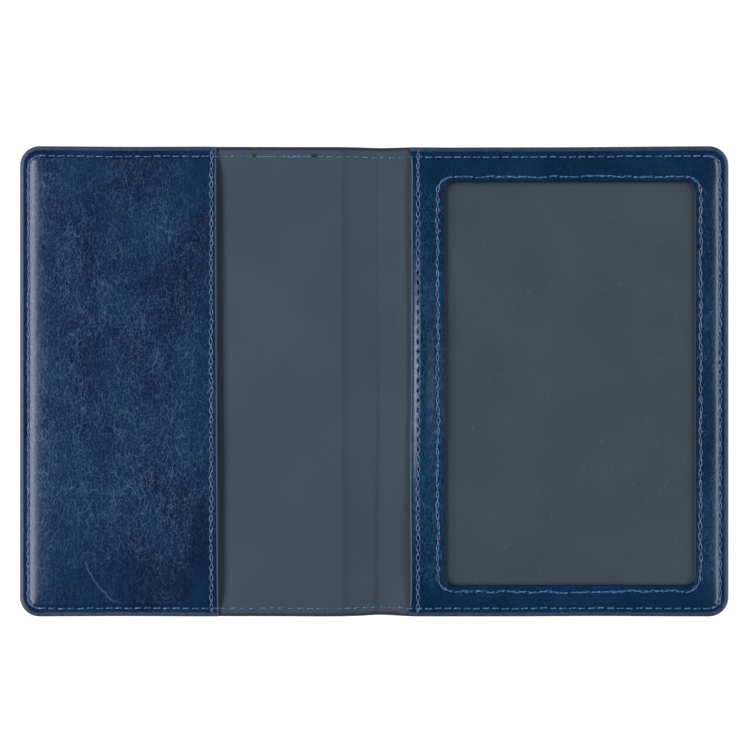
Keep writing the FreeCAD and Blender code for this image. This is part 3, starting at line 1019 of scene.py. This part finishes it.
def make_melted_ends(finish):
    """Two small uneven drops of melted thread on the perimeter seam."""
    rings, sides = 9, 16
    tilt = np.linspace(-math.pi / 2, math.pi / 2, rings)[:, None]
    turn = np.arange(sides) / sides * 2 * math.pi
    y = SEAM[3] + 0.3
    parts = []
    for number, x in enumerate(OVERLAP):
        size = 1 + 0.16 * np.sin(3 * turn + number * 2) + 0.08 * np.sin(5 * turn)
        points = np.stack([
            x + 0.55 * size * np.cos(tilt) * np.cos(turn),
            drawn_in(x, y) + 0.42 * size * np.cos(tilt) * np.sin(turn),
            LINING_TOP + 0.30 + 0.33 * np.sin(tilt) * np.ones(sides),
        ], -1).reshape(-1, 3)
        index = np.arange(rings * sides).reshape(rings, sides)
        quads = np.stack([index[:-1], np.roll(index[:-1], -1, 1), np.roll(index[1:], -1, 1), index[1:]], -1)
        parts.append((points, quads.reshape(-1, 4).tolist()))
    made = joined("melted_ends", parts, finish["melted"])
    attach(made, "left_cover")
    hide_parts("melted_thread_ends")


def make_stage():
    """A white table, so wide that it fills the view from about 10 degrees up."""
    bpy.ops.mesh.primitive_plane_add(size=60, location=(0, 0, -0.05 * MM))
    floor = bpy.context.object
    floor.name = "table"
    f = Finish("white_table", Roughness=0.9, Specular_IOR_Level=0.1)
    f.use("Base Color", f.mix(f.noise(f.place(), 0.01), (0.86, 0.86, 0.86, 1), (0.88, 0.88, 0.88, 1)))
    f.shader.inputs["Emission Color"].default_value = (1, 1, 1, 1)
    f.shader.inputs["Emission Strength"].default_value = 0.75
    floor.data.materials.append(f.material)


def soft_box(name, at, size, power):
    """A rectangular light that faces the middle of the holder."""
    data = bpy.data.lights.new(name, "AREA")
    data.shape, data.size, data.size_y, data.energy = "RECTANGLE", size[0], size[1], power
    data.color = (0.96, 0.98, 1.06)
    made = bpy.data.objects.new(name, data)
    bpy.context.scene.collection.objects.link(made)
    made.location = at
    made.rotation_euler = (-Vector(at)).to_track_quat("-Z", "Y").to_euler()


def make_light_and_camera():
    """Two long soft boxes, one on each side, a faint even light, and a camera straight above."""
    soft_box("left_box", (-0.63, 0.04, 0.51), (1.2, 0.30), 7.2)
    soft_box("right_box", (0.68, 0.04, 0.47), (1.2, 0.20), 4.3)
    world = bpy.data.worlds.new("studio")
    bpy.context.scene.world = world
    world.use_nodes = True
    world.node_tree.nodes["Background"].inputs["Color"].default_value = (1, 1, 1, 1)
    world.node_tree.nodes["Background"].inputs["Strength"].default_value = 0.04
    data = bpy.data.cameras.new("camera")
    data.lens, data.sensor_width = 120, 36
    camera = bpy.data.objects.new("camera", data)
    camera.location = (0.00023, 0.00166, 0.715)
    bpy.context.scene.collection.objects.link(camera)
    bpy.context.scene.camera = camera
    bpy.context.scene.view_settings.view_transform = "Standard"


def main():
    finish = make_finishes()
    seams = make_seams()
    make_sheets(finish)
    make_boards(finish)
    holes = {name: seam.holes() for name, seam in seams.items()}
    make_panel(finish, [hole for hole in holes["left"] + holes["panel"] if hole[0] < PANEL_EDGE])
    frame_panel = make_frame_panel(
        finish, [hole for hole in holes["right"] + holes["frame"] + holes["window"] if hole[0] > FRAME_EDGE]
    )
    make_pocket_backing(finish)
    make_frame_backing(finish)
    make_film(finish)
    make_threads(finish, seams)
    make_melted_ends(finish)
    make_stage()
    make_light_and_camera()


main()
bpy.context.view_layer.update()
